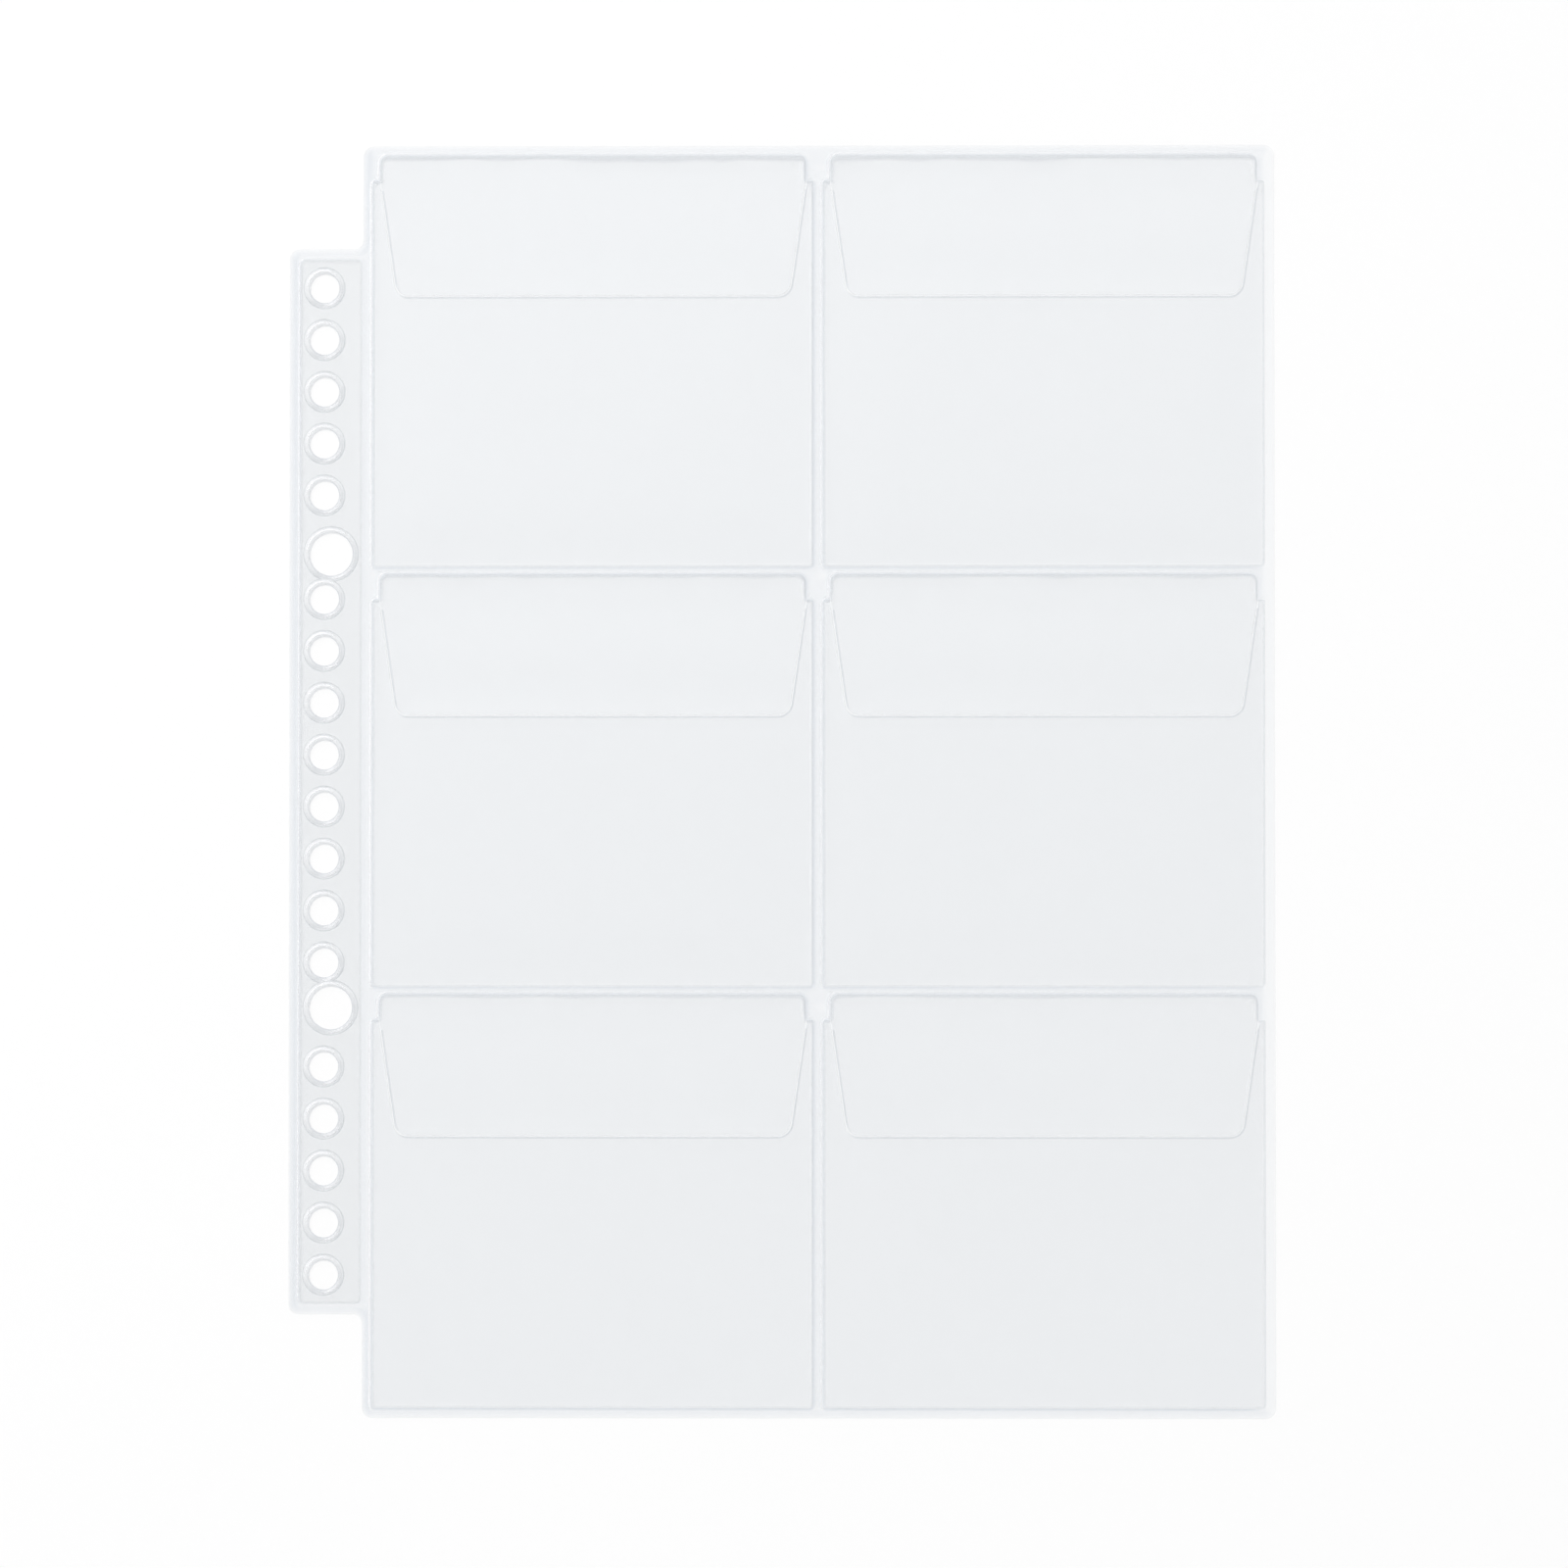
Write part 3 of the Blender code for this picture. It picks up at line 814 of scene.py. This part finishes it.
def vinyl(name, tint, shade_line_tint, haze, mirror, highlight_milk, lines):
    """Clear soft plastic: it tints what lies behind, mirrors by angle, and has painted shade and highlight
    lines beside its edges.
    """
    material = bpy.data.materials.new(name)
    material.use_nodes = True
    tree = material.node_tree
    tree.nodes.clear()

    wander = spread(tree, clouds(tree, WOBBLE_SCALE), 0, 1, -WOBBLE, WOBBLE)
    weld_gap = maths(tree, "ADD", named(tree, "weld_gap"), wander)
    cut_gap = named(tree, "cut_gap")
    lamp_side_pull = named(tree, "lamp_side_pull")
    painted_line_level = named(tree, "painted_line_level")
    shaded = named(tree, "cut_shading_share")
    lit = maths(tree, "SUBTRACT", 1.0, shaded)
    weld_shade = by_pull(tree, weld_gap, lines.dark_bunched, lines.dark_pulled, lamp_side_pull)
    weld_highlight = by_pull(tree, weld_gap, lines.pale_bunched, lines.pale_pulled, lamp_side_pull)
    painted_shade = line_strength(tree, weld_shade, painted_line_level, curve(tree, cut_gap, lines.cut_dark), shaded)
    painted_highlight = line_strength(tree, weld_highlight, painted_line_level, curve(tree, cut_gap, lines.cut_pale), lit)

    share = maths(tree, "MULTIPLY", named(tree, "tint"), maths(tree, "SUBTRACT", 1.0, painted_highlight, True))
    inner = add(tree, "ShaderNodeMix", {"Factor": share}, data_type="RGBA")
    inner.inputs["A"].default_value = (1, 1, 1, 1)
    inner.inputs["B"].default_value = (*tint, 1)
    colour = add(tree, "ShaderNodeMix", {"Factor": painted_shade, "A": inner.outputs["Result"]}, data_type="RGBA")
    colour.inputs["B"].default_value = (*shade_line_tint, 1)
    clear = add(tree, "ShaderNodeBsdfTransparent", {"Color": colour.outputs["Result"]}).outputs[0]

    uneven = clouds(tree, PEEL_SCALE, PEEL_DETAIL)
    peel = {"Height": uneven, "Strength": PEEL_STRENGTH, "Distance": PEEL_DEPTH}
    bump = add(tree, "ShaderNodeBump", peel).outputs[0]
    rough = spread(tree, clouds(tree, ROUGH_SCALE), *NOISE_RANGE, *ROUGHNESS)
    gloss = add(tree, "ShaderNodeBsdfGlossy", {"Roughness": rough, "Normal": bump}).outputs[0]
    facing = add(tree, "ShaderNodeLayerWeight", {"Blend": 0.5}).outputs["Facing"]
    shine = spread(tree, maths(tree, "POWER", facing, SCHLICK_POWER), 0, 1, mirror, 1)
    outer = maths(tree, "SUBTRACT", 1.0, add(tree, "ShaderNodeNewGeometry").outputs["Backfacing"])
    shine = maths(tree, "MULTIPLY", shine, outer)
    film = add(tree, "ShaderNodeMixShader", {0: shine, 1: clear, 2: gloss}).outputs[0]

    least, most = (level * haze for level in MILK_SPREAD)
    milk = spread(tree, clouds(tree, MILK_SCALE, MILK_DETAIL), *NOISE_RANGE, least, most)
    # Painted highlights also whiten the film's haze
    milk = maths(tree, "ADD", milk, maths(tree, "MULTIPLY", painted_highlight, highlight_milk), True)
    body = add(tree, "ShaderNodeBsdfDiffuse", {"Color": BODY}).outputs[0]
    whole = add(tree, "ShaderNodeMixShader", {0: milk, 1: film, 2: body}).outputs[0]
    add(tree, "ShaderNodeOutputMaterial", {"Surface": whole})
    return material


# The studio

FLOOR_DROP = 0.0001
FLOOR_REACH = 2.4
COVE = 0.7
WALL_TOP = 1.6
COVE_STEPS = 12
ROUND_STEPS = 96
FLOOR_WHITE = (0.98, 0.98, 0.98, 1)
FLOOR_GLOW = 0.85  # share of plain white in what the camera sees of the floor


def sweep_material():
    """Paper that looks white to the camera and in reflections, and still takes the object's shadow."""
    material = bpy.data.materials.new("studio_paper")
    material.use_nodes = True
    tree = material.node_tree
    tree.nodes.clear()
    rays = add(tree, "ShaderNodeLightPath").outputs
    seen = maths(tree, "MAXIMUM", rays["Is Camera Ray"], rays["Is Glossy Ray"])
    seen = maths(tree, "MAXIMUM", seen, rays["Is Transmission Ray"])
    share = maths(tree, "MULTIPLY", seen, FLOOR_GLOW)
    paper = add(tree, "ShaderNodeBsdfDiffuse", {"Color": FLOOR_WHITE}).outputs[0]
    white = add(tree, "ShaderNodeEmission", {"Strength": 1.0}).outputs[0]
    mixed = add(tree, "ShaderNodeMixShader", {0: share, 1: paper, 2: white}).outputs[0]
    add(tree, "ShaderNodeOutputMaterial", {"Surface": mixed})
    return material


def build_sweep():
    """A round floor that curves up into a low wall."""
    turns = [math.pi / 2 * step / COVE_STEPS for step in range(COVE_STEPS + 1)]
    profile = [(FLOOR_REACH + COVE * math.sin(turn), COVE * (1 - math.cos(turn))) for turn in turns]
    profile.append((FLOOR_REACH + COVE, WALL_TOP))
    points = [(0, 0, -FLOOR_DROP)]
    angles = [2 * math.pi * step / ROUND_STEPS for step in range(ROUND_STEPS)]
    for radius, height in profile:
        points += [(radius * math.cos(a), radius * math.sin(a), height - FLOOR_DROP) for a in angles]
    faces = [(0, 1 + step, 1 + (step + 1) % ROUND_STEPS) for step in range(ROUND_STEPS)]
    for ring in range(len(profile) - 1):
        first = 1 + ring * ROUND_STEPS
        for step in range(ROUND_STEPS):
            here, ahead = first + step, first + (step + 1) % ROUND_STEPS
            faces.append((here, here + ROUND_STEPS, ahead + ROUND_STEPS, ahead))
    mesh = bpy.data.meshes.new("studio_sweep")
    mesh.from_pydata(points, [], faces)
    mesh.materials.append(sweep_material())
    mesh.shade_smooth()
    sweep = bpy.data.objects.new("studio_sweep", mesh)
    bpy.context.scene.collection.objects.link(sweep)


SKY_COLOUR = (0.985, 0.992, 1.0, 1)
SKY_DIM = 0.08
SKY_BRIGHT = 0.80
SKY_TURN = (-0.12, 0.16)  # how far the way leans, where the sky turns from dim to bright
SKY_POWER = 2.0
SKY_LEAN = (-0.35, 1.0, 0.0)  # the side of the sky that is bright
KEY_PLACE = (-0.75, 0.8, 1.0)
KEY_SIZE = 1.6
KEY_POWER = 25.0


def build_light():
    world = bpy.data.worlds.new("studio")
    bpy.context.scene.world = world
    world.use_nodes = True
    tree = world.node_tree
    tree.nodes.clear()
    way = add(tree, "ShaderNodeTexCoord").outputs["Generated"]
    lean = Vector(SKY_LEAN).normalized()
    side = add(tree, "ShaderNodeVectorMath", {0: way, 1: lean}, operation="DOT_PRODUCT").outputs["Value"]
    rise = maths(tree, "POWER", spread(tree, side, *SKY_TURN), SKY_POWER)
    level = spread(tree, rise, 0, 1, SKY_DIM, SKY_BRIGHT)
    sky = add(tree, "ShaderNodeBackground", {"Color": SKY_COLOUR, "Strength": level}).outputs[0]
    add(tree, "ShaderNodeOutputWorld", {"Surface": sky})

    lamp = bpy.data.lights.new("key", "AREA")
    lamp.size = KEY_SIZE
    lamp.energy = KEY_POWER
    key = bpy.data.objects.new("key", lamp)
    key.location = KEY_PLACE
    key.visible_glossy = False  # the film mirrors the sky, without the lamp's glare
    key.rotation_mode = "QUATERNION"
    key.rotation_quaternion = (-Vector(KEY_PLACE)).to_track_quat("-Z", "Y")
    bpy.context.scene.collection.objects.link(key)


CLEAR_LAYERS = 48  # surfaces that a ray may pass on its way through the films
LENS = 100.0
SENSOR = 36.0
PHOTO_WIDTH = 0.2865  # what the photograph's width covers on the page
AIM = Vector((0.00045, -0.00063, 0.0007))
CAMERA_WAY = Vector((0.0102, -0.0154, 1.0))


def build_camera():
    data = bpy.data.cameras.new("camera")
    data.lens = LENS
    data.sensor_width = SENSOR
    camera = bpy.data.objects.new("camera", data)
    camera.location = AIM + CAMERA_WAY.normalized() * PHOTO_WIDTH * LENS / SENSOR
    back = CAMERA_WAY.normalized()
    right = Vector((0, 1, 0)).cross(back).normalized()
    camera.rotation_mode = "QUATERNION"
    camera.rotation_quaternion = Matrix((right, back.cross(right), back)).transposed().to_quaternion()
    bpy.context.scene.collection.objects.link(camera)
    bpy.context.scene.camera = camera


def main():
    front = vinyl(
        "front_vinyl",
        tint=(0.976, 0.980, 0.984),
        shade_line_tint=(0.90, 0.908, 0.919),
        haze=0.02,
        mirror=0.06,
        highlight_milk=0.25,
        lines=FILM_LINES,
    )
    strip = vinyl(
        "strip_vinyl",
        tint=(0.963, 0.967, 0.970),
        shade_line_tint=(0.91, 0.915, 0.922),
        haze=0.02,
        mirror=0.05,
        highlight_milk=0.6,
        lines=STRIP_LINES,
    )
    back = vinyl(
        "back_vinyl",
        tint=(0.985, 0.989, 0.993),
        shade_line_tint=(0.89, 0.895, 0.905),
        haze=0.01,
        mirror=0.015,
        highlight_milk=0.2,
        lines=BACK_LINES,
    )
    fused = vinyl(
        "fused_vinyl",
        tint=(0.915, 0.928, 0.944),
        shade_line_tint=(0.885, 0.90, 0.919),
        haze=0.02,
        mirror=0.02,
        highlight_milk=0.25,
        lines=SEAM_LINES,
    )
    lip = vinyl(
        "lip_vinyl",
        tint=(0.91, 0.917, 0.925),
        shade_line_tint=(0.86, 0.87, 0.885),
        haze=0.02,
        mirror=0.06,
        highlight_milk=0.9,
        lines=RING_LINES,
    )
    build_pockets(front)
    build_strip_film(strip)
    build_back_film(back)
    build_seams(fused)
    build_rings(lip)
    build_sweep()
    build_light()
    build_camera()
    scene = bpy.context.scene
    scene.view_settings.view_transform = "Standard"
    scene.cycles.transparent_max_bounces = CLEAR_LAYERS


main()
